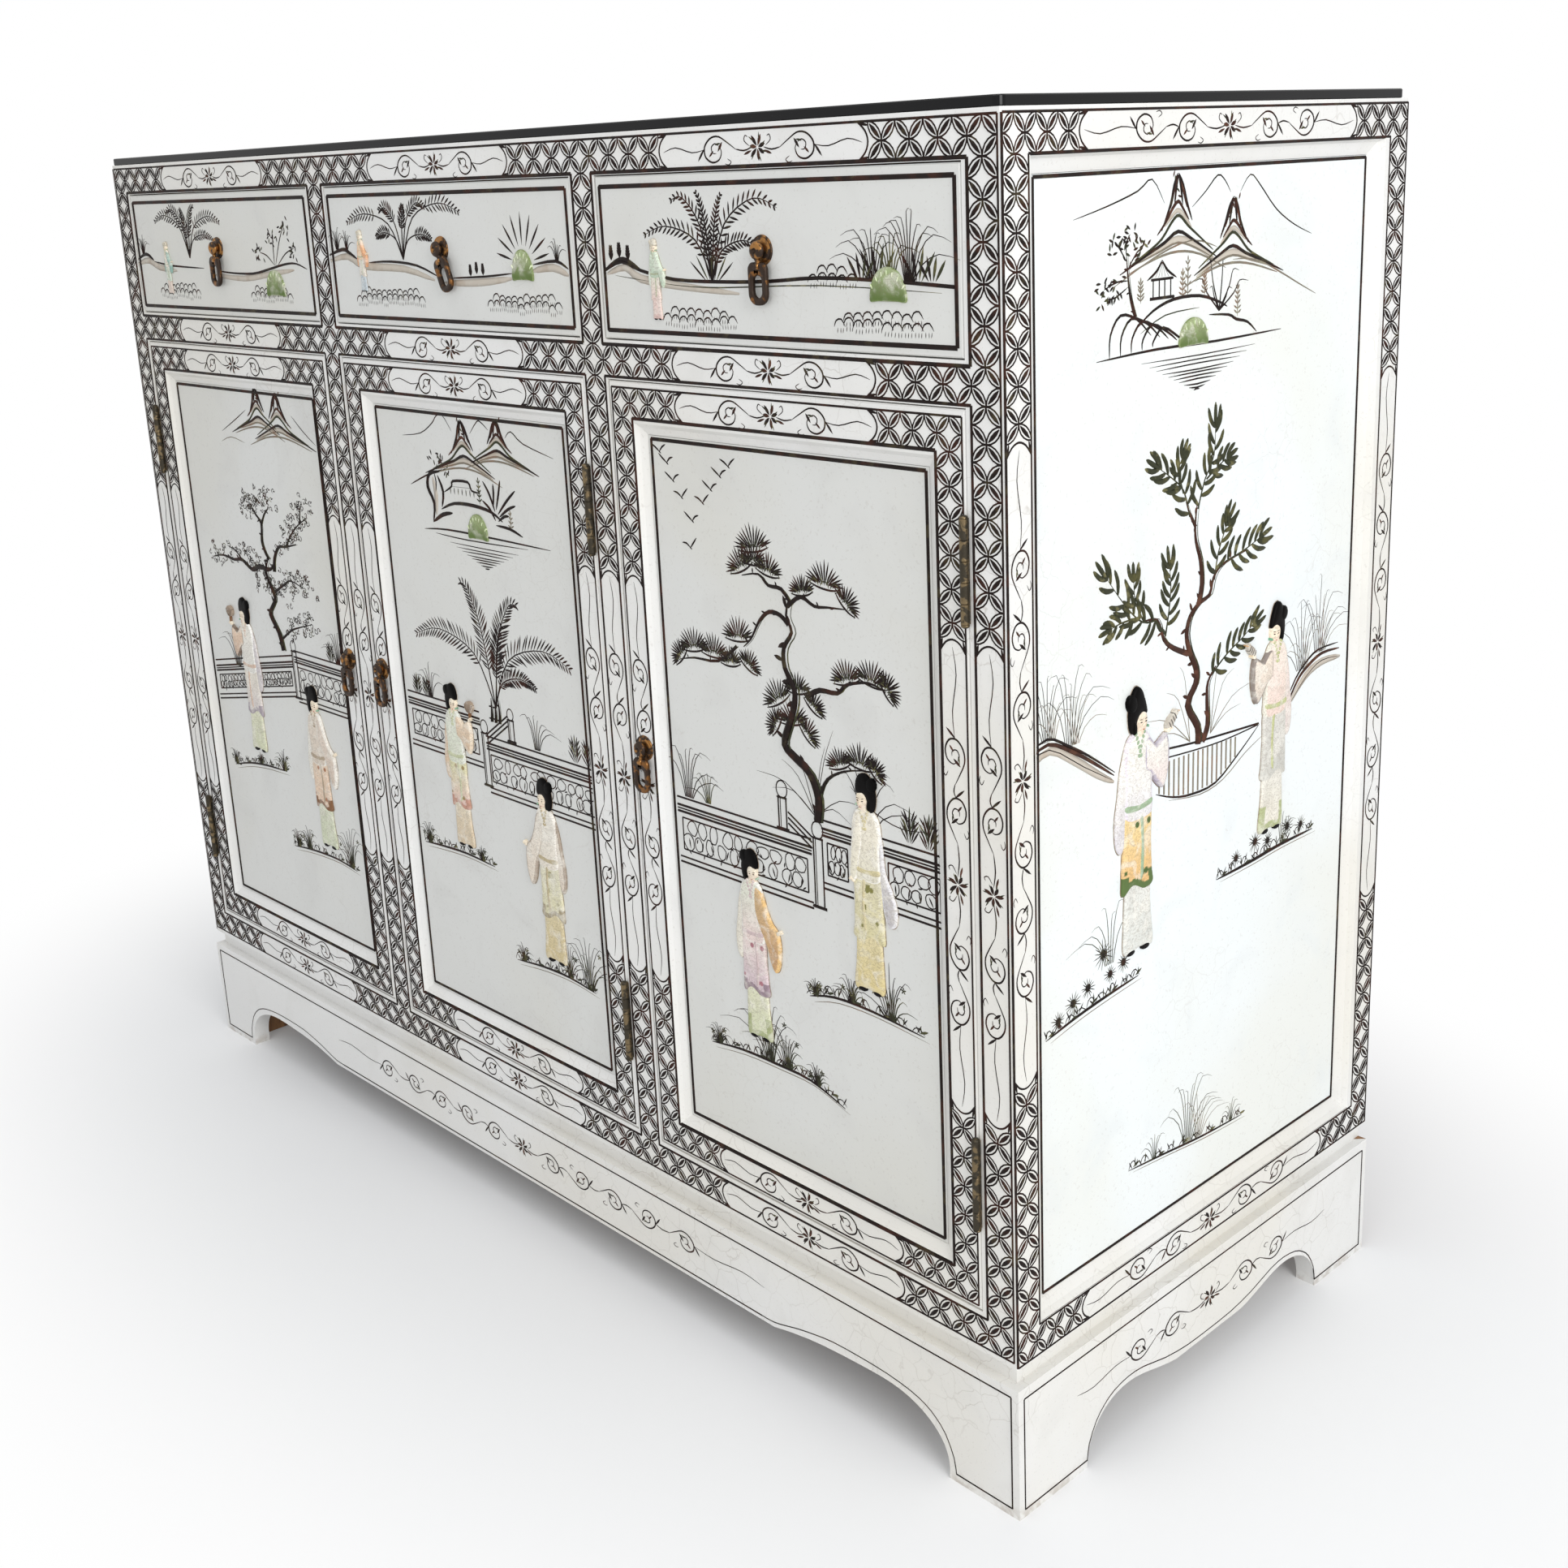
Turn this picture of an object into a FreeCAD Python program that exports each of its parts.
import FreeCAD, Part
import math
import os
from FreeCAD import Vector

# A lacquered sideboard with three drawers over three doors, a glass sheet on its top and a scalloped plinth.
# The origin is on the floor under the middle of the whole piece. +X is to the right as one faces it, +Y is to
# the back and +Z is up. Lengths are in millimetres.

os.makedirs("parts", exist_ok=True)

# Body
body_width = 1220.0
body_depth = 480.0
body_height = 870.0
corner_stile_width = 32.0
inner_stile_width = 31.0
top_rail_height = 30.0
mid_rail_height = 30.0
bottom_rail_height = 34.0
drawer_opening_height = 121.0
frame_thickness = 20.0
arris = 1.0

# Sides
side_front_stile = 27.0
side_rear_stile = 32.0
side_top_rail = 28.0
side_bottom_rail = 27.0
side_thickness = 20.0

# Top, neck and plinth
glass_thickness = 7.0
glass_side_inset = 1.0
glass_rear_inset = 4.0
glass_corner_radius = 6.0
glass_arris = 0.8
neck_height = 16.0
neck_inset = 6.0
neck_width = 30.0
plinth_height = 110.0
plinth_proud = 2.0
plinth_thickness = 18.0
front_foot_width = 69.0
side_foot_width = 80.0
front_apron_rise = 54.0
side_apron_rise = 48.0
corner_block = 36.0
corner_block_lift = 2.0

# Inner boards
top_board_thickness = 18.0
bottom_board_thickness = 15.0
deck_thickness = 12.0
back_panel_thickness = 6.0
back_rail_thickness = 20.0
partition_thickness = 15.0
shelf_thickness = 15.0
shelf_height = 487.0
shelf_setback = 25.0
shelf_clearance = 0.5
cleat_size = 15.0

# Moulded inner edges: a steep facet by the face, then a shallow one down to the panel
door_steep_facet = 3.0
door_bevel_width = 9.0
door_bevel_depth = 6.0
side_steep_width = 3.0
side_steep_depth = 5.0
side_bevel_width = 12.0
side_bevel_depth = 9.0
panel_field_thickness = 6.0
tongue_setback = 2.5
tongue_thickness = 4.0
tongue_length = 5.0
panel_clearance = 0.3

# Doors
door_gap = 1.0
door_stile_width = 27.5
door_top_rail = 31.0
door_bottom_rail = 27.0
door_thickness = 20.0
door_pull_rise = 359.0
stop_width = 40.0
stop_depth = 12.0
stop_drop = 14.0
stop_inset = 8.0
stop_gap = 0.3

# Hinges
hinge_length = 70.0
hinge_inset = 69.0
hinge_axis_reach = 3.8
barrel_radius = 3.5
pin_radius = 1.5
pin_clearance = 0.05
pin_head_radius = 3.1
pin_head_length = 1.0
knuckle_gap = 0.3
leaf_thickness = 1.2
leaf_width = 17.0
leaf_gap = 0.3
knuckle_count = 5
knuckle_sides = 10
pin_sides = 8

# Drawers
drawer_front_thickness = 18.0
drawer_box_inset = 6.3
drawer_box_depth = 400.0
drawer_box_height = 105.0
drawer_side_thickness = 10.0
drawer_bottom_thickness = 5.0
drawer_bottom_rise = 8.0
drawer_groove = 4.0
drawer_slide_clearance = 0.3
guide_clearance = 0.5
guide_height = 12.0
kicker_clearance = 1.0
kicker_overlap = 8.0
drawer_pull_lift = 6.5
drawer_back_drop = 10.0
drawer_lip_thickness = 7.0
dovetail_count = 3
dovetail_width = 20.0
dovetail_flare = 2.0

# Drop pulls
plate_sides = 12
bolt_sides = 10
hole_sides = 8
eye_sides = 8
nut_sides = 6
plate_radius = 10.5
plate_rim = 0.8
plate_crown = 2.2
neck_of_bolt_radius = 3.2
bolt_head_radius = 6.5
bolt_head_reach = 8.2
bolt_head_length = 4.6
bolt_head_rim = 2.6
dimple_radius = 1.75
dimple_depth = 1.6
shank_radius = 2.0
shank_clearance = 0.2
nut_radius = 4.5
nut_thickness = 3.0
eye_drop = 11.0
eye_reach = 5.0
eye_radius = 3.0
eye_width = 5.0
eye_pin_radius = 1.5
eye_pin_clearance = 0.06
tongue_of_eye_depth = 3.0
ring_width = 18.4
ring_length = 29.2
ring_thickness = 4.0
ring_shoulder = 3.2
ring_notch_depth = 3.5
ring_notch_clearance = 0.3
ring_slot_width = 9.2
ring_slot_start = 5.6
ring_slot_length = 15.4
ring_arris = 1.0
ring_arc_steps = 6
slot_arc_steps = 4
ring_corner_share = 0.25
slot_corner_share = 0.98
middle_pull_askew_deg = 22.0

# Carved figures and mounds
door_relief = 3.5
side_relief = 4.0
drawer_relief = 2.5
mound_relief = 2.0

overrun = 5.0
quarter_turn_deg = 90.0

# Outline of half an apron, from the inner edge of the foot to the flat middle, in shares of the half span and
# of the rise
front_apron_shares = [(1.0, 0.0), (0.985, 0.60), (0.94, 0.905), (0.83, 1.0), (0.727, 0.92), (0.645, 0.76)]
side_apron_shares = [(1.0, 0.0), (0.95, 0.58), (0.85, 0.87), (0.69, 1.0), (0.50, 0.90), (0.28, 0.73)]

# Places of the figures on a front or panel: across from its middle in half widths, up from its foot in heights,
# and the figure's own height in heights, with the way it faces and how it holds its arms
door_figure_shares = {
    "left": [(-0.37, 0.317, 0.295, -1, "raised"), (0.51, 0.178, 0.303, 1, "low")],
    "middle": [(-0.41, 0.291, 0.274, 1, "raised"), (0.51, 0.152, 0.303, -1, "low")],
    "right": [(-0.36, 0.178, 0.277, 1, "low"), (0.52, 0.314, 0.295, -1, "trailing")],
}
drawer_figure_shares = {
    "left": [(-0.62, 0.168, 0.437, 1, "low")],
    "middle": [(-0.70, 0.244, 0.445, 1, "low")],
    "right": [(-0.64, 0.134, 0.487, 1, "low")],
}
side_figure_shares = [(-0.44, 0.2975, 0.253, 1, "raised"), (0.45, 0.354, 0.231, -1, "raised")]

# Places of the mounds: across in half widths, up in heights, half width in half widths, height in heights
door_mound_shares = {"left": [], "middle": [(0.055, 0.811, 0.10, 0.038)], "right": []}
drawer_mound_shares = {
    "left": [(0.597, 0.185, 0.096, 0.20)],
    "middle": [(0.629, 0.353, 0.077, 0.20)],
    "right": [(0.653, 0.286, 0.088, 0.185)],
}
side_mound_shares = [(-0.125, 0.847, 0.086, 0.024)]

# Outlines of a standing figure in shares of its height, the way it faces being positive
skirt_shares = [(-0.045, 0.0), (0.082, 0.0), (0.098, 0.03), (0.076, 0.28), (0.06, 0.52), (-0.06, 0.52),
                (-0.07, 0.28), (-0.078, 0.016)]
jacket_shares = [(-0.086, 0.24), (0.092, 0.25), (0.079, 0.56), (0.083, 0.74), (0.066, 0.815), (0.026, 0.86),
                 (-0.02, 0.86), (-0.066, 0.815), (-0.084, 0.75), (-0.08, 0.56)]
front_sleeve_shares = {
    "low": [(0.025, 0.8), (0.066, 0.79), (0.10, 0.72), (0.178, 0.605), (0.192, 0.52), (0.178, 0.43), (0.152, 0.395),
            (0.094, 0.53), (0.02, 0.68)],
    "raised": [(0.025, 0.79), (0.06, 0.8), (0.10, 0.775), (0.165, 0.8), (0.182, 0.745), (0.176, 0.66),
               (0.148, 0.6), (0.025, 0.69)],
    "trailing": [(0.02, 0.8), (0.056, 0.79), (0.097, 0.6), (0.1, 0.53), (0.075, 0.5), (0.03, 0.62)],
}
back_sleeve_shares = {
    "low": [(-0.03, 0.8), (-0.062, 0.79), (-0.10, 0.72), (-0.132, 0.53), (-0.126, 0.44), (-0.10, 0.405),
            (-0.03, 0.69)],
    "trailing": [(-0.03, 0.8), (-0.06, 0.79), (-0.105, 0.58), (-0.168, 0.42), (-0.158, 0.35), (-0.118, 0.335),
                 (-0.03, 0.6)],
}
back_sleeve_shares["raised"] = back_sleeve_shares["low"]
hair_shares = [(-0.05, 0.84), (-0.063, 0.93), (-0.044, 0.982), (-0.008, 1.0), (0.03, 0.992), (0.05, 0.955),
               (0.045, 0.91), (-0.01, 0.89), (-0.018, 0.85)]
head_across_share = 0.013
head_height_share = 0.876
head_radius_share = 0.045
head_sides = 8
mound_steps = 8
skirt_relief_share = 0.75
sleeve_relief_share = 1.0
jacket_relief_share = 0.85
head_relief_share = 0.9

# Levels
body_bottom = plinth_height + neck_height
body_top = body_bottom + body_height
door_opening_bottom = body_bottom + bottom_rail_height
drawer_opening_top = body_top - top_rail_height
deck_top = drawer_opening_top - drawer_opening_height
door_opening_top = deck_top - mid_rail_height
deck_bottom = deck_top - deck_thickness
floor_top = door_opening_bottom
top_board_bottom = body_top - top_board_thickness

# Plan
half_width = body_width / 2
face_y = (bolt_head_reach - body_depth) / 2
rear_y = face_y + body_depth
frame_back_y = face_y + frame_thickness
opening_half_span = half_width - corner_stile_width
opening_width = (2 * opening_half_span - 2 * inner_stile_width) / 3
bay_pitch = opening_width + inner_stile_width
inner_x = half_width - side_thickness
back_rail_y = rear_y - back_rail_thickness
back_panel_y = back_rail_y - back_panel_thickness
front_post_back_y = face_y + side_front_stile
rear_post_front_y = rear_y - side_rear_stile
bay_centres = {"left": -bay_pitch, "middle": 0.0, "right": bay_pitch}

# Doors in plan and height
door_half = opening_width / 2 - door_gap
drawer_box_half = opening_width / 2 - drawer_box_inset
door_bottom = door_opening_bottom + door_gap
door_top = door_opening_top - door_gap
hinge_sides = {"left": -1, "middle": 1, "right": 1}
hinge_axis_y = face_y - hinge_axis_reach
hinge_bottoms = [door_bottom + hinge_inset, door_top - hinge_inset - hinge_length]
pocket_depth = leaf_gap / 2 + leaf_thickness - door_gap / 2


def box(x0, x1, y0, y1, z0, z1):
    """Board between two values on each axis, whichever of them is the lower."""
    low = Vector(min(x0, x1), min(y0, y1), min(z0, z1))
    return Part.makeBox(abs(x1 - x0), abs(y1 - y0), abs(z1 - z0), low)


def polygon_face(corners):
    """Flat face with straight edges through the corners in order."""
    return Part.Face(Part.makePolygon(corners + corners[:1]))


def around(radius, sides, start, run):
    """Corners of a regular polygon in a circle across a line."""
    up = Vector(0, 0, 1)
    if abs(run.z) > run.Length / 2:
        up = Vector(1, 0, 0)
    side = run.cross(up).normalize()
    corners = []
    for index in range(sides):
        turn = 2 * math.pi * (index + 1 / 2) / sides
        corners.append(start + up * (radius * math.cos(turn)) + side * (radius * math.sin(turn)))
    return corners


def prism(radius, sides, start, run):
    """Round bar with flat facets whose corners lie on a radius."""
    return polygon_face(around(radius, sides, start, run)).extrude(run)


def bore(radius, sides, start, run):
    """Hole with flat facets that all lie outside a radius, so that a round bar turns in it."""
    return prism(radius / math.cos(math.pi / sides), sides, start, run)


def skinned(outlines, looped):
    """Solid with flat facets from each outline to the next; the ends are closed, or joined if it is looped."""
    faces = []
    count = len(outlines[0])
    pairs = list(zip(outlines, outlines[1:]))
    if looped:
        pairs.append((outlines[-1], outlines[0]))
    else:
        faces = [polygon_face(outlines[0]), polygon_face(outlines[-1])]
    for near, far in pairs:
        for index in range(count):
            following = (index + 1) % count
            faces.append(polygon_face([near[index], near[following], far[following], far[index]]))
    solid = Part.makeSolid(Part.makeShell(faces))
    if solid.Volume < 0:
        solid.reverse()
    return solid.removeSplitter().Solids[0]


def mirrored(shapes):
    """The same pieces on the other side of the middle of the cabinet."""
    return [shape.mirror(Vector(0, 0, 0), Vector(1, 0, 0)) for shape in shapes]


def both_sides(shapes):
    """Pieces of the right side together with their mirror images on the left."""
    return shapes + mirrored(shapes)


def save(node, shapes):
    """Write the pieces of one node."""
    shape = shapes[0] if len(shapes) == 1 else Part.makeCompound(shapes)
    shape.exportStep(os.path.join("parts", node + ".step"))


# Frame and panel work


def edge_profile(width, facets, foot_depth, thickness, edge):
    """Section of a frame member as inward distance and depth: a face, facets down to the panel, and a groove."""
    foot = width + facets[-1][0]
    groove_front = foot_depth + tongue_setback - panel_clearance
    groove_back = foot_depth + tongue_setback + tongue_thickness + panel_clearance
    groove_floor = foot - tongue_length - panel_clearance
    outer = [(0, edge), (edge, 0), (width, 0)] if edge else [(0, 0)]
    slope = [(width + across, down) for across, down in facets]
    groove = [(foot, groove_front), (groove_floor, groove_front), (groove_floor, groove_back), (foot, groove_back)]
    return outer + slope + groove + [(foot, thickness), (0, thickness)]


def mitred_frame(left, right, bottom, top, widths, facets, foot_depth, thickness, edge):
    """Four members round an opening, mitred at the corners, with the face at y = 0 and the depth along +Y."""
    corners = [(left, bottom), (right, bottom), (right, top), (left, top)]
    sides = ["bottom", "right", "top", "left"]
    bevel = facets[-1][0]
    members = []
    for index, side in enumerate(sides):
        start = Vector(corners[index][0], 0, corners[index][1])
        after = corners[(index + 1) % 4]
        run = Vector(after[0], 0, after[1]) - start
        length = run.Length
        along = run / length
        inward = Vector(-along.z, 0, along.x)
        own = widths[side]
        before = widths[sides[index - 1]]
        following = widths[sides[(index + 1) % 4]]
        profile = edge_profile(own, facets, foot_depth, thickness, edge)
        section = [start + inward * across + Vector(0, depth, 0) for across, depth in profile]
        bar = polygon_face(section).extrude(run)
        plan = [(0, 0), (before, own), (before + bevel, own + bevel), (length - following - bevel, own + bevel),
                (length - following, own), (length, 0)]
        if own == 0:
            plan = [(0, 0), (bevel, bevel), (length - bevel, bevel), (length, 0)]
        mitre = [start + along * run_share + inward * across for run_share, across in plan]
        wedge = polygon_face(mitre).extrude(Vector(0, thickness, 0))
        members.append(bar.common(wedge).Solids[0])
    return members


def floating_panel(left, right, bottom, top, foot_depth):
    """Panel whose tongue stands in the groove round an opening, measured to the foot of the moulding."""
    gap = panel_clearance
    field = box(left + gap, right - gap, foot_depth, foot_depth + panel_field_thickness, bottom + gap, top - gap)
    tongue_front = foot_depth + tongue_setback
    reach = tongue_length
    tongue = box(left - reach, right + reach, tongue_front, tongue_front + tongue_thickness,
                 bottom - reach, top + reach)
    return field.fuse(tongue).removeSplitter()


# Carved figures


def plate_of_shares(shares, size, facing, relief):
    """Flat-backed plate in front of y = 0, cut to an outline in shares of a size."""
    corners = [Vector(across * size * facing, 0, up * size) for across, up in shares]
    return polygon_face(corners).extrude(Vector(0, -relief, 0))


def figure(height, facing, arms, relief):
    """Standing robed figure in low relief, one stone piece with stepped skirt, jacket, sleeves, head and hair."""
    head_centre = Vector(height * head_across_share * facing, 0, height * head_height_share)
    forward = Vector(0, -relief * head_relief_share, 0)
    head = prism(height * head_radius_share, head_sides, head_centre, forward)
    layers = [
        plate_of_shares(jacket_shares, height, facing, relief * jacket_relief_share),
        plate_of_shares(front_sleeve_shares[arms], height, facing, relief * sleeve_relief_share),
        plate_of_shares(back_sleeve_shares[arms], height, facing, relief * skirt_relief_share),
        plate_of_shares(hair_shares, height, facing, relief * sleeve_relief_share),
        head,
    ]
    robe = plate_of_shares(skirt_shares, height, facing, relief * skirt_relief_share)
    return robe.fuse(layers).removeSplitter().Solids[0]


def mound(half_span, rise, relief):
    """Small rounded hill: half an ellipse with its flat back at y = 0."""
    corners = []
    for index in range(mound_steps + 1):
        turn = math.pi * index / mound_steps
        corners.append(Vector(half_span * math.cos(turn), 0, rise * math.sin(turn)))
    return polygon_face(corners).extrude(Vector(0, -relief, 0))


def inlay(left, right, bottom, top, figures, mounds, relief):
    """Stone pieces on a surface at y = 0, placed by shares of the surface."""
    middle = (left + right) / 2
    half_span = (right - left) / 2
    height = top - bottom
    stones = []
    for across, up, tall, facing, arms in figures:
        stone = figure(height * tall, facing, arms, relief)
        stone.translate(Vector(middle + across * half_span, 0, bottom + up * height))
        stones.append(stone)
    for across, up, wide, tall in mounds:
        stone = mound(half_span * wide, height * tall, mound_relief)
        stone.translate(Vector(middle + across * half_span, 0, bottom + up * height))
        stones.append(stone)
    return stones


def moved(shapes, offset):
    """Copies of the pieces, moved."""
    copies = []
    for shape in shapes:
        copy = shape.copy()
        copy.translate(offset)
        copies.append(copy)
    return copies


# Body


def hinge_axis_x(place):
    """X of a door's hinge axis, in the middle of the gap beside the door."""
    return bay_centres[place] + hinge_sides[place] * (opening_width / 2 - door_gap / 2)


def leaf_pocket(axis_x, toward, bottom):
    """Recess for one hinge leaf in the wood on one side of the axis, which is -1 or 1."""
    wood_face = axis_x + toward * door_gap / 2
    pocket_floor = wood_face + toward * pocket_depth
    return box(axis_x, pocket_floor, face_y - overrun, face_y + leaf_width, bottom, bottom + hinge_length)


def frame_pockets():
    """Recesses for the frame leaves of all the hinges."""
    pockets = []
    for place, side in hinge_sides.items():
        for bottom in hinge_bottoms:
            pockets.append(leaf_pocket(hinge_axis_x(place), side, bottom))
    return pockets


def corner_posts():
    """Posts at the four corners, with a fine chamfer on the outer arris of each."""
    posts = []
    inner = half_width - corner_stile_width
    for outer_y, back_y in [(face_y, front_post_back_y), (rear_y, rear_post_front_y)]:
        inward = arris if back_y > outer_y else -arris
        plan = [(inner, outer_y), (half_width - arris, outer_y), (half_width, outer_y + inward),
                (half_width, back_y), (inner, back_y)]
        corners = [Vector(x, y, body_bottom) for x, y in plan]
        posts.append(polygon_face(corners).extrude(Vector(0, 0, body_height)))
    return [post.cut(frame_pockets()).Solids[0] for post in both_sides(posts)]


def inner_stiles():
    """Stiles between the bays, each in a lower and an upper length."""
    stiles = []
    x0 = opening_width / 2
    x1 = x0 + inner_stile_width
    for z0, z1 in [(door_opening_bottom, door_opening_top), (deck_top, drawer_opening_top)]:
        stiles.append(box(x0, x1, face_y, frame_back_y, z0, z1))
    return [stile.cut(frame_pockets()).Solids[0] for stile in both_sides(stiles)]


def face_rails():
    """Rails across the front between the corner posts."""
    levels = [(body_bottom, door_opening_bottom), (door_opening_top, deck_top), (drawer_opening_top, body_top)]
    span = opening_half_span
    return [box(-span, span, face_y, frame_back_y, z0, z1) for z0, z1 in levels]


def side_rails():
    """Rails of both sides between the front and rear posts."""
    levels = [(body_bottom, body_bottom + side_bottom_rail), (body_top - side_top_rail, body_top)]
    rails = [box(inner_x, half_width, front_post_back_y, rear_post_front_y, z0, z1) for z0, z1 in levels]
    return both_sides(rails)


side_opening = (front_post_back_y, rear_post_front_y, body_bottom + side_bottom_rail, body_top - side_top_rail)
side_field = (side_opening[0] + side_bevel_width, side_opening[1] - side_bevel_width,
              side_opening[2] + side_bevel_width, side_opening[3] - side_bevel_width)


def to_right_side(shapes):
    """Turn pieces made at the front so that their face looks to +X, flush with the right side."""
    turned = []
    for shape in shapes:
        copy = shape.copy()
        copy.rotate(Vector(0, 0, 0), Vector(0, 0, 1), quarter_turn_deg)
        copy.translate(Vector(half_width, 0, 0))
        turned.append(copy)
    return turned


def side_mouldings():
    """Mitred mouldings that frame and hold the side panels."""
    widths = {"bottom": 0, "right": 0, "top": 0, "left": 0}
    facets = [(side_steep_width, side_steep_depth), (side_bevel_width, side_bevel_depth)]
    members = mitred_frame(*side_opening, widths, facets, side_bevel_depth, side_thickness, 0)
    return both_sides(to_right_side(members))


def side_panel():
    """Sunk panel of the right side."""
    return to_right_side([floating_panel(*side_field, side_bevel_depth)])


def side_inlay():
    """Stone figures of the right side."""
    stones = inlay(*side_field, side_figure_shares, side_mound_shares, side_relief)
    return to_right_side(moved(stones, Vector(0, side_bevel_depth, 0)))


def notched_board(z0, z1, back_y):
    """Board that fills the body between the sides, cut round the four posts."""
    board = box(-inner_x, inner_x, frame_back_y, back_y, z0, z1)
    notch_x = half_width - corner_stile_width
    front = box(notch_x, half_width, face_y, front_post_back_y, z0, z1)
    rear = box(notch_x, half_width, rear_post_front_y, rear_y, z0, z1)
    return board.cut(both_sides([front, rear])).Solids[0]


def back_rails():
    """Rails across the back between the rear posts."""
    span = opening_half_span
    levels = [(body_bottom, door_opening_bottom), (drawer_opening_top, body_top)]
    return [box(-span, span, back_rail_y, rear_y, z0, z1) for z0, z1 in levels]


def partitions():
    """Upright boards behind the inner stiles, below and above the deck."""
    centre = (opening_width + inner_stile_width) / 2
    x0 = centre - partition_thickness / 2
    x1 = centre + partition_thickness / 2
    levels = [(floor_top, deck_bottom), (deck_top, top_board_bottom)]
    return both_sides([box(x0, x1, frame_back_y, back_panel_y, z0, z1) for z0, z1 in levels])


def bay_walls(place):
    """Inner faces of the boards on the left and right of a bay."""
    centre = (opening_width + inner_stile_width) / 2
    near = centre - partition_thickness / 2
    far = centre + partition_thickness / 2
    return {"left": (-inner_x, -far), "middle": (-near, near), "right": (far, inner_x)}[place]


def shelf_depths():
    """Front and rear edges of a shelf, clear of the doors and of the rear posts."""
    return frame_back_y + shelf_setback, rear_post_front_y - shelf_clearance


def shelves():
    """One shelf in each cupboard."""
    y0, y1 = shelf_depths()
    boards = []
    for place in bay_centres:
        x0, x1 = bay_walls(place)
        boards.append(box(x0 + shelf_clearance, x1 - shelf_clearance, y0, y1, shelf_height - shelf_thickness,
                          shelf_height))
    return boards


def shelf_cleats():
    """Strips that carry the shelves at both sides."""
    y0, y1 = shelf_depths()
    z1 = shelf_height - shelf_thickness
    strips = []
    for place in bay_centres:
        x0, x1 = bay_walls(place)
        strips.append(box(x0, x0 + cleat_size, y0, y1, z1 - cleat_size, z1))
        strips.append(box(x1 - cleat_size, x1, y0, y1, z1 - cleat_size, z1))
    return strips


def drawer_guides():
    """Strips beside the drawers on the deck, and kickers above their sides."""
    strips = []
    half_box = drawer_box_half
    kicker_bottom = deck_top + drawer_slide_clearance + drawer_box_height + kicker_clearance
    for place, centre in bay_centres.items():
        walls = bay_walls(place)
        for side, wall in zip((-1, 1), walls):
            guide_x = centre + side * (half_box + guide_clearance)
            kicker_x = centre + side * (half_box - kicker_overlap)
            strips.append(box(guide_x, wall, front_post_back_y, rear_post_front_y, deck_top, deck_top + guide_height))
            strips.append(box(kicker_x, wall, front_post_back_y, rear_post_front_y, kicker_bottom, top_board_bottom))
    return strips


def door_stops():
    """Blocks under the deck that the free edges of the doors close against."""
    blocks = []
    for place, side in hinge_sides.items():
        outer = bay_centres[place] - side * (opening_width / 2 - stop_inset)
        inner = outer + side * stop_width
        blocks.append(box(outer, inner, frame_back_y + stop_gap, frame_back_y + stop_gap + stop_depth,
                          door_opening_top - stop_drop, deck_bottom))
    return blocks


# Hinges


def hinge_leaf(axis_x, toward, bottom, knuckles):
    """Leaf on one side of the axis, with its own knuckles rolled round the pin."""
    near = axis_x + toward * leaf_gap / 2
    far = near + toward * leaf_thickness
    leaf = box(near, far, face_y, face_y + leaf_width, bottom, bottom + hinge_length)
    knuckle_length = (hinge_length - (knuckle_count - 1) * knuckle_gap) / knuckle_count
    wall_y = hinge_axis_y + (barrel_radius + pin_radius) / 2
    pieces = []
    for index in knuckles:
        z0 = bottom + index * (knuckle_length + knuckle_gap)
        foot = Vector(axis_x, hinge_axis_y, z0)
        pieces.append(prism(barrel_radius, knuckle_sides, foot, Vector(0, 0, knuckle_length)))
        pieces.append(box(near, far, wall_y, face_y, z0, z0 + knuckle_length))
    pin_hole = bore(pin_radius + pin_clearance, pin_sides, Vector(axis_x, hinge_axis_y, bottom),
                    Vector(0, 0, hinge_length))
    return leaf.fuse(pieces).cut(pin_hole).removeSplitter().Solids[0]


def hinge_frame_leaves():
    """Leaves on the posts and the inner stile, with three knuckles each, counted from the foot."""
    leaves = []
    for place, side in hinge_sides.items():
        for bottom in hinge_bottoms:
            leaves.append(hinge_leaf(hinge_axis_x(place), side, bottom, range(0, knuckle_count, 2)))
    return leaves


def door_hinge_leaves(place):
    """Leaves on one door, with two knuckles each."""
    return [hinge_leaf(hinge_axis_x(place), -hinge_sides[place], bottom, range(1, knuckle_count, 2))
            for bottom in hinge_bottoms]


def hinge_pins():
    """Headed pins through the knuckles."""
    pins = []
    for place in hinge_sides:
        for bottom in hinge_bottoms:
            foot = Vector(hinge_axis_x(place), hinge_axis_y, bottom - pin_head_length)
            top = Vector(hinge_axis_x(place), hinge_axis_y, bottom + hinge_length)
            shaft = prism(pin_radius, pin_sides, foot, Vector(0, 0, hinge_length + 2 * pin_head_length))
            heads = [prism(pin_head_radius, pin_sides, end, Vector(0, 0, pin_head_length)) for end in (foot, top)]
            pins.append(shaft.fuse(heads).removeSplitter().Solids[0])
    return pins


# Drop pulls, made round the middle of the plate with the wood's face at y = 0


def turned(profile, sides, looped):
    """Solid with flat facets turned about the Y axis from points of radius and y."""
    outlines = [around(radius, sides, Vector(0, y, 0), Vector(0, 1, 0)) for radius, y in profile]
    return skinned(outlines, looped)


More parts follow.
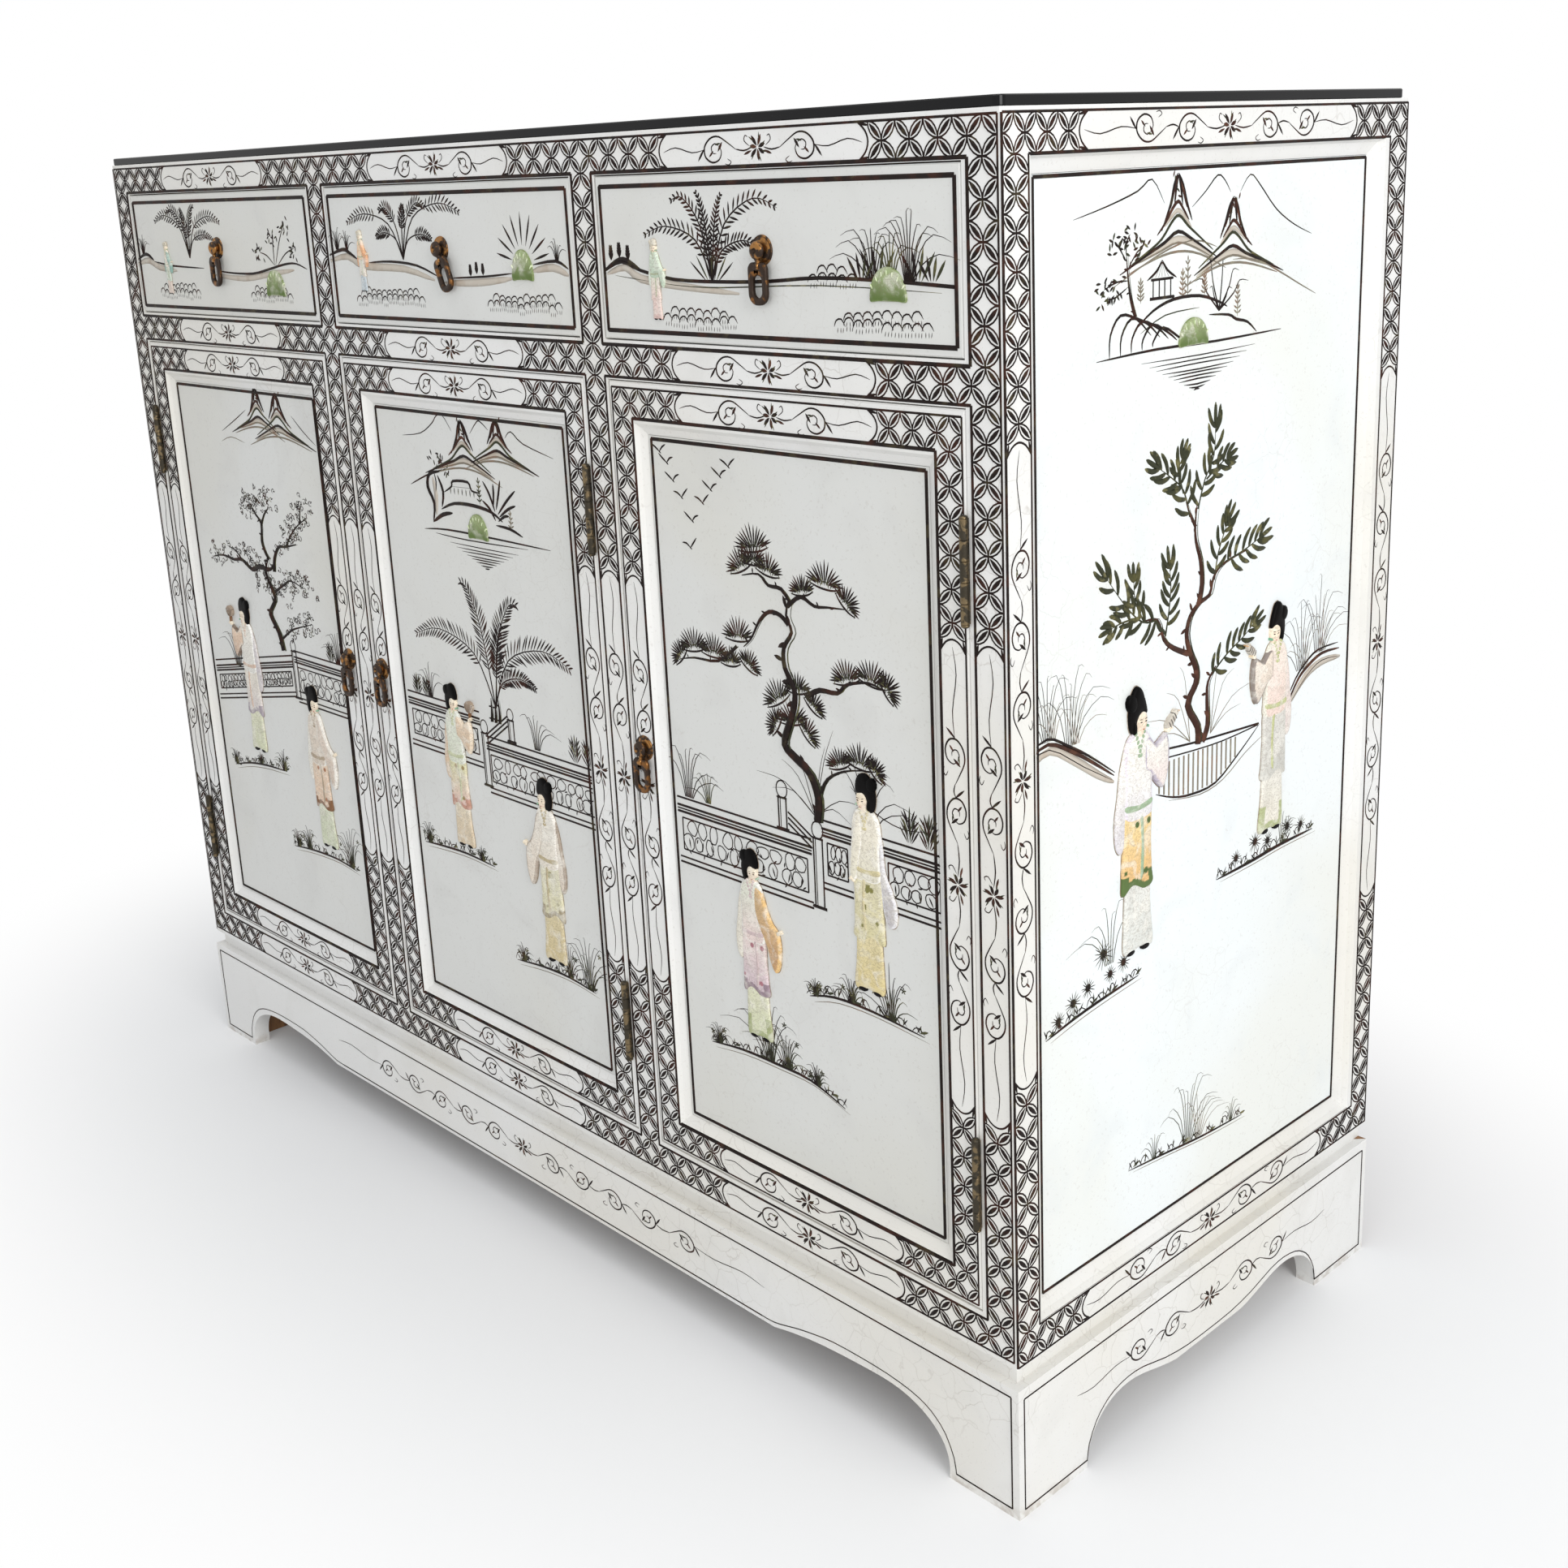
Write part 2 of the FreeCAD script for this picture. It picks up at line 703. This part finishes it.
def pull_plate_and_bolt(wood_thickness):
    """Domed plate, eye bolt through the wood, and nut behind it."""
    hole = shank_radius + shank_clearance
    knee = (plate_radius + neck_of_bolt_radius) / 2
    knee_crown = (plate_crown + plate_rim) / 2 + plate_rim / 2
    plate = turned([(hole, 0), (plate_radius, 0), (plate_radius, -plate_rim), (knee, -knee_crown),
                    (neck_of_bolt_radius, -plate_crown), (hole, -plate_crown)], plate_sides, True)
    back = -bolt_head_reach + bolt_head_length
    nut_back = wood_thickness + nut_thickness
    head_shoulder = (bolt_head_radius + dimple_radius) / 2
    bolt = turned([(shank_radius, nut_back), (shank_radius, -plate_crown), (neck_of_bolt_radius, -plate_crown),
                   (neck_of_bolt_radius, back), (bolt_head_radius, back), (bolt_head_radius, back - bolt_head_rim),
                   (head_shoulder, -bolt_head_reach), (dimple_radius, -bolt_head_reach),
                   (dimple_radius, -bolt_head_reach + dimple_depth)], bolt_sides, False)
    half_eye = eye_width / 2
    eye_start = Vector(-half_eye, -eye_reach, -eye_drop)
    eye = prism(eye_radius, eye_sides, eye_start, Vector(eye_width, 0, 0))
    half_tongue = tongue_of_eye_depth / 2
    tongue = box(-half_eye, half_eye, -eye_reach - half_tongue, -eye_reach + half_tongue, -eye_drop,
                 -neck_of_bolt_radius)
    hole_in_eye = bore(eye_pin_radius + eye_pin_clearance, pin_sides, eye_start, Vector(eye_width, 0, 0))
    bolt = bolt.fuse([eye, tongue]).cut(hole_in_eye).removeSplitter().Solids[0]
    nut_start = Vector(0, wood_thickness, 0)
    nut_run = Vector(0, nut_thickness, 0)
    thread = prism(shank_radius, bolt_sides, nut_start, nut_run)
    nut = prism(nut_radius, nut_sides, nut_start, nut_run).cut(thread).Solids[0]
    return [plate, bolt, nut]


def arc_points(centre, radius, start_turn, end_turn, steps):
    """Points of an arc in the XZ plane, by turns from +X towards +Z."""
    points = []
    for index in range(steps + 1):
        turn = 2 * math.pi * (start_turn + (end_turn - start_turn) * index / steps)
        points.append(centre + Vector(radius * math.cos(turn), 0, radius * math.sin(turn)))
    return points


def stadium(width, length, top_z, corner_radius, steps, inset, y):
    """Outline of an upright plate with a round foot and rounded top corners, drawn in by an inset."""
    radius = width / 2
    low = Vector(0, y, top_z - length + radius)
    reach = radius - corner_radius
    right = Vector(reach, y, top_z - corner_radius)
    left = Vector(-reach, y, top_z - corner_radius)
    foot = arc_points(low, radius - inset, 1 / 2, 1, steps)
    top_steps = steps // 2
    corner = corner_radius - inset
    return foot + arc_points(right, corner, 0, 1 / 4, top_steps) + arc_points(left, corner, 1 / 4, 1 / 2, top_steps)


def pull_ring():
    """Long ring that swings on a cross pin in the eye of the bolt, hanging straight down."""
    top_z = -eye_drop + ring_shoulder
    half = ring_thickness / 2
    corner = ring_width * ring_corner_share
    layers = [(-half, ring_arris), (-half + ring_arris, 0), (half - ring_arris, 0), (half, ring_arris)]
    outer = skinned([stadium(ring_width, ring_length, top_z, corner, ring_arc_steps, inset, y)
                     for y, inset in layers], False)
    slot_top = -eye_drop - ring_slot_start
    slot_radius = ring_slot_width / 2
    slot = [stadium(ring_slot_width, ring_slot_length, slot_top, slot_radius * slot_corner_share, slot_arc_steps, 0, y)
            for y in (-ring_thickness, ring_thickness)]
    half_notch = eye_width / 2 + ring_notch_clearance
    notch = box(-half_notch, half_notch, -ring_thickness, ring_thickness, -eye_drop - ring_notch_depth,
                top_z + overrun)
    ring = outer.cut([skinned(slot, False), notch])
    pin_half = eye_width / 2 + ring_shoulder
    pin = prism(eye_pin_radius, pin_sides, Vector(-pin_half, 0, -eye_drop), Vector(2 * pin_half, 0, 0))
    ring = ring.fuse(pin).removeSplitter().Solids[0]
    ring.translate(Vector(0, -eye_reach, 0))
    return ring


def placed_pull(shapes, x, z, askew_deg):
    """Pull pieces on the face of the cabinet, turned about the bolt where it has worked loose."""
    placed = []
    for shape in shapes:
        copy = shape.copy()
        copy.rotate(Vector(0, 0, 0), Vector(0, 1, 0), -askew_deg)
        copy.translate(Vector(x, face_y, z))
        placed.append(copy)
    return placed


def bolt_hole(x, z):
    """Hole for an eye bolt through a door stile or drawer front."""
    start = Vector(x, face_y - overrun, z)
    return bore(shank_radius + shank_clearance, hole_sides, start, Vector(0, door_thickness + 2 * overrun, 0))


# Doors


def door_pull_place(place):
    """X and z of the middle of a door's pull plate, on the stile away from the hinges."""
    return bay_centres[place] - hinge_sides[place] * (door_half - door_stile_width / 2), door_bottom + door_pull_rise


def door_field(place):
    """Edges of the sunk panel that show inside the moulding: left, right, bottom, top."""
    reach = door_half - door_stile_width - door_bevel_width
    return (bay_centres[place] - reach, bay_centres[place] + reach,
            door_bottom + door_bottom_rail + door_bevel_width, door_top - door_top_rail - door_bevel_width)


def door_frame(place):
    """Mitred door frame with a moulded inner edge, recessed for its hinges and bored for its pull."""
    centre = bay_centres[place]
    widths = {"bottom": door_bottom_rail, "right": door_stile_width, "top": door_top_rail, "left": door_stile_width}
    facets = [(door_steep_facet, door_steep_facet), (door_bevel_width, door_bevel_depth)]
    members = mitred_frame(centre - door_half, centre + door_half, door_bottom, door_top, widths, facets,
                           door_bevel_depth, door_thickness, arris)
    cuts = [leaf_pocket(hinge_axis_x(place), -hinge_sides[place], bottom) for bottom in hinge_bottoms]
    cuts.append(bolt_hole(*door_pull_place(place)))
    return [member.cut(cuts).Solids[0] for member in moved(members, Vector(0, face_y, 0))]


def door_panel(place):
    """Floating panel of a door."""
    return moved([floating_panel(*door_field(place), door_bevel_depth)], Vector(0, face_y, 0))


def door_inlay(place):
    """Stone pieces on a door panel."""
    stones = inlay(*door_field(place), door_figure_shares[place], door_mound_shares[place], door_relief)
    return moved(stones, Vector(0, face_y + door_bevel_depth, 0))


# Drawers

drawer_front_bottom = deck_top + door_gap
drawer_front_top = drawer_opening_top - door_gap
drawer_pull_z = (drawer_front_bottom + drawer_front_top) / 2 + drawer_pull_lift
drawer_box_bottom = deck_top + drawer_slide_clearance
drawer_box_top = drawer_box_bottom + drawer_box_height
drawer_bottom_top = drawer_box_bottom + drawer_bottom_rise + drawer_bottom_thickness
drawer_back_top = drawer_box_top - drawer_back_drop
drawer_tail_low = drawer_bottom_top
drawer_tail_high = drawer_box_top


def dovetails(x0, x1, root_y, tip_y, low, high):
    """Tails on the end of a drawer side, spread evenly over a height and wider at their tips."""
    tails = []
    pitch = (high - low) / dovetail_count
    half_tip = dovetail_width / 2
    half_root = half_tip - dovetail_flare
    for index in range(dovetail_count):
        middle = low + pitch * (index + 1 / 2)
        corners = [Vector(x0, root_y, middle - half_root), Vector(x0, root_y, middle + half_root),
                   Vector(x0, tip_y, middle + half_tip), Vector(x0, tip_y, middle - half_tip)]
        tails.append(polygon_face(corners).extrude(Vector(x1 - x0, 0, 0)))
    return tails


def drawer_side_faces(place, side):
    """Outer and inner x of a drawer's side, which is -1 or 1."""
    outer = bay_centres[place] + side * drawer_box_half
    return outer, outer - side * drawer_side_thickness


def front_dovetails(place):
    """Tails of both sides of a drawer that stand in its front, hidden behind the lip."""
    tails = []
    root_y = face_y + drawer_front_thickness
    for side in (-1, 1):
        outer, inner = drawer_side_faces(place, side)
        tails += dovetails(outer, inner, root_y, face_y + drawer_lip_thickness, drawer_tail_low, drawer_tail_high)
    return tails


def back_dovetails(place):
    """Tails of both sides of a drawer that stand between the pins of its back."""
    tails = []
    tip_y = face_y + drawer_front_thickness + drawer_box_depth
    for side in (-1, 1):
        outer, inner = drawer_side_faces(place, side)
        tails += dovetails(outer, inner, tip_y - drawer_side_thickness, tip_y, drawer_bottom_top, drawer_back_top)
    return tails


def drawer_front(place):
    """Lipped front with a fine chamfer round its face, sockets for the tails, a groove and the bolt's hole."""
    centre = bay_centres[place]
    back_y = face_y + drawer_front_thickness
    front = box(centre - door_half, centre + door_half, face_y, back_y, drawer_front_bottom, drawer_front_top)
    face = [edge for edge in front.Edges if edge.BoundBox.YMax < face_y + arris / 2]
    front = front.makeChamfer(arris, face)
    cuts = front_dovetails(place) + [bolt_hole(centre, drawer_pull_z), drawer_bottom(place)]
    for side in (-1, 1):
        outer, inner = drawer_side_faces(place, side)
        lip_end = centre + side * (door_half + overrun)
        cuts.append(box(outer, lip_end, face_y + drawer_lip_thickness, back_y + overrun,
                        drawer_front_bottom - overrun, drawer_front_top + overrun))
    return [front.cut(cuts).removeSplitter().Solids[0]]


def drawer_bottom(place):
    """Thin bottom that stands in grooves in the front and sides and runs under the back."""
    half_inside = drawer_box_half - drawer_side_thickness + drawer_groove
    centre = bay_centres[place]
    back_y = face_y + drawer_front_thickness + drawer_box_depth
    z0 = drawer_box_bottom + drawer_bottom_rise
    return box(centre - half_inside, centre + half_inside, face_y + drawer_front_thickness - drawer_groove, back_y,
               z0, z0 + drawer_bottom_thickness)


def drawer_box(place):
    """Sides, back and bottom of a drawer, dovetailed at its corners."""
    y0 = face_y + drawer_front_thickness
    y1 = y0 + drawer_box_depth
    bottom = drawer_bottom(place)
    pin_y = y1 - drawer_side_thickness
    outer_left, inner_left = drawer_side_faces(place, -1)
    outer_right, inner_right = drawer_side_faces(place, 1)
    rear_tails = back_dovetails(place)
    back = box(outer_left, outer_right, pin_y, y1, drawer_bottom_top, drawer_back_top).cut(rear_tails).Solids[0]
    sides = []
    for outer, inner in ((outer_left, inner_left), (outer_right, inner_right)):
        board = box(outer, inner, y0, y1, drawer_box_bottom, drawer_box_top)
        tails = [tail for tail in front_dovetails(place) if abs(tail.BoundBox.Center.x - outer) < drawer_box_half / 2]
        sides.append(board.fuse(tails).cut([bottom, back]).removeSplitter().Solids[0])
    return sides + [back, bottom]


def drawer_inlay(place):
    """Stone pieces on a drawer front."""
    centre = bay_centres[place]
    stones = inlay(centre - door_half, centre + door_half, drawer_front_bottom, drawer_front_top,
                   drawer_figure_shares[place], drawer_mound_shares[place], drawer_relief)
    return moved(stones, Vector(0, face_y, 0))


# Top, neck and plinth


def glass_top():
    """Glass sheet with rounded corners and eased edges."""
    sheet = box(-half_width + glass_side_inset, half_width - glass_side_inset, face_y, rear_y - glass_rear_inset,
                body_top, body_top + glass_thickness)
    uprights = [edge for edge in sheet.Edges if edge.BoundBox.ZLength > glass_thickness / 2]
    sheet = sheet.makeFillet(glass_corner_radius, uprights)
    rim = [edge for edge in sheet.Edges if edge.BoundBox.ZLength < glass_arris / 2]
    return [sheet.makeChamfer(glass_arris, rim)]


def mitred_plan(half_x, front, back, width, z0, height):
    """Four upright boards round a rectangle, mitred at the corners: front, right, back, left."""
    outer = [(-half_x, front), (half_x, front), (half_x, back), (-half_x, back)]
    inner = [(-half_x + width, front + width), (half_x - width, front + width), (half_x - width, back - width),
             (-half_x + width, back - width)]
    boards = []
    for index in range(4):
        following = (index + 1) % 4
        plan = [outer[index], outer[following], inner[following], inner[index]]
        corners = [Vector(x, y, z0) for x, y in plan]
        boards.append(polygon_face(corners).extrude(Vector(0, 0, height)))
    return boards


def neck_frame():
    """Recessed frame between plinth and body."""
    return mitred_plan(half_width - neck_inset, face_y + neck_inset, rear_y, neck_width, plinth_height, neck_height)


def apron_cut(half_span, rise, shares, depth):
    """Solid to cut from under an apron, across x and through y from 0 to a depth."""
    right = [Vector(across * half_span, 0, up * rise) for across, up in shares]
    left = [Vector(-point.x, 0, point.z) for point in right]
    curves = []
    for points in (right, left):
        curve = Part.BSplineCurve()
        curve.interpolate(Points=points)
        curves.append(curve.toShape())
    flat = Part.makeLine(right[-1], left[-1])
    below = [right[0], right[0] - Vector(0, 0, overrun), left[0] - Vector(0, 0, overrun), left[0]]
    legs = [Part.makeLine(below[index], below[index + 1]) for index in range(3)]
    wire = Part.Wire(Part.__sortEdges__(curves + [flat] + legs))
    return Part.Face(wire).extrude(Vector(0, depth, 0))


plinth_half = half_width + plinth_proud
plinth_front_y = face_y - plinth_proud


def plinth():
    """Boards of the plinth: front, both sides and back, cut to their scalloped aprons."""
    front, right, back, left = mitred_plan(plinth_half, plinth_front_y, rear_y, plinth_thickness, 0, plinth_height)
    depth = rear_y - plinth_front_y
    across = apron_cut(plinth_half - front_foot_width, front_apron_rise, front_apron_shares, depth)
    across.translate(Vector(0, plinth_front_y, 0))
    through = apron_cut(depth / 2 - side_foot_width, side_apron_rise, side_apron_shares, 2 * plinth_half)
    through.rotate(Vector(0, 0, 0), Vector(0, 0, 1), quarter_turn_deg)
    through.translate(Vector(plinth_half, (plinth_front_y + rear_y) / 2, 0))
    return {
        "front": [front.cut(across).Solids[0]],
        "sides": [right.cut(through).Solids[0], left.cut(through).Solids[0]],
        "back": [back.cut(across).Solids[0]],
    }


def corner_blocks():
    """Glue blocks inside the corners of the plinth."""
    outer = plinth_half - plinth_thickness
    blocks = []
    for y0, step in ((plinth_front_y + plinth_thickness, corner_block), (rear_y - plinth_thickness, -corner_block)):
        blocks.append(box(outer - corner_block, outer, y0, y0 + step, corner_block_lift, plinth_height))
    return both_sides(blocks)


# Nodes of the cabinet body
save("glass_top", glass_top())
save("top_board", [notched_board(top_board_bottom, body_top, back_rail_y)])
save("bottom_board", [notched_board(floor_top - bottom_board_thickness, floor_top, back_rail_y)])
save("drawer_deck", [notched_board(deck_bottom, deck_top, back_panel_y)])
save("back_panel", [box(-opening_half_span, opening_half_span, back_panel_y, back_rail_y, floor_top,
                        top_board_bottom)])
save("back_rails", back_rails())
save("corner_posts", corner_posts())
save("inner_stiles", inner_stiles())
save("face_rails", face_rails())
save("side_rails", side_rails())
save("side_mouldings", side_mouldings())
save("side_panel_right", side_panel())
save("side_panel_left", mirrored(side_panel()))
save("side_inlay_right", side_inlay())
save("side_inlay_left", mirrored(side_inlay()))
save("partitions", partitions())
save("shelves", shelves())
save("shelf_cleats", shelf_cleats())
save("drawer_guides", drawer_guides())
save("door_stops", door_stops())
save("hinge_frame_leaves", hinge_frame_leaves())
save("hinge_pins", hinge_pins())
save("neck_frame", neck_frame())
plinth_boards = plinth()
save("plinth_front", plinth_boards["front"])
save("plinth_sides", plinth_boards["sides"])
save("plinth_back", plinth_boards["back"])
save("corner_blocks", corner_blocks())

# Nodes of the drawers and doors
ring = pull_ring()
for place, centre in bay_centres.items():
    askew_deg = middle_pull_askew_deg if place == "middle" else 0
    save("drawer_front_" + place, drawer_front(place))
    save("drawer_box_" + place, drawer_box(place))
    save("drawer_inlay_" + place, drawer_inlay(place))
    drawer_bolt = pull_plate_and_bolt(drawer_front_thickness)
    save("drawer_pull_" + place, placed_pull(drawer_bolt, centre, drawer_pull_z, askew_deg))
    save("drawer_ring_" + place, placed_pull([ring], centre, drawer_pull_z, askew_deg))
    save("door_frame_" + place, door_frame(place))
    save("door_panel_" + place, door_panel(place))
    save("door_inlay_" + place, door_inlay(place))
    save("door_hinge_leaves_" + place, door_hinge_leaves(place))
    door_bolt = pull_plate_and_bolt(door_thickness)
    save("door_pull_" + place, placed_pull(door_bolt, *door_pull_place(place), 0))
    save("door_ring_" + place, placed_pull([ring], *door_pull_place(place), 0))
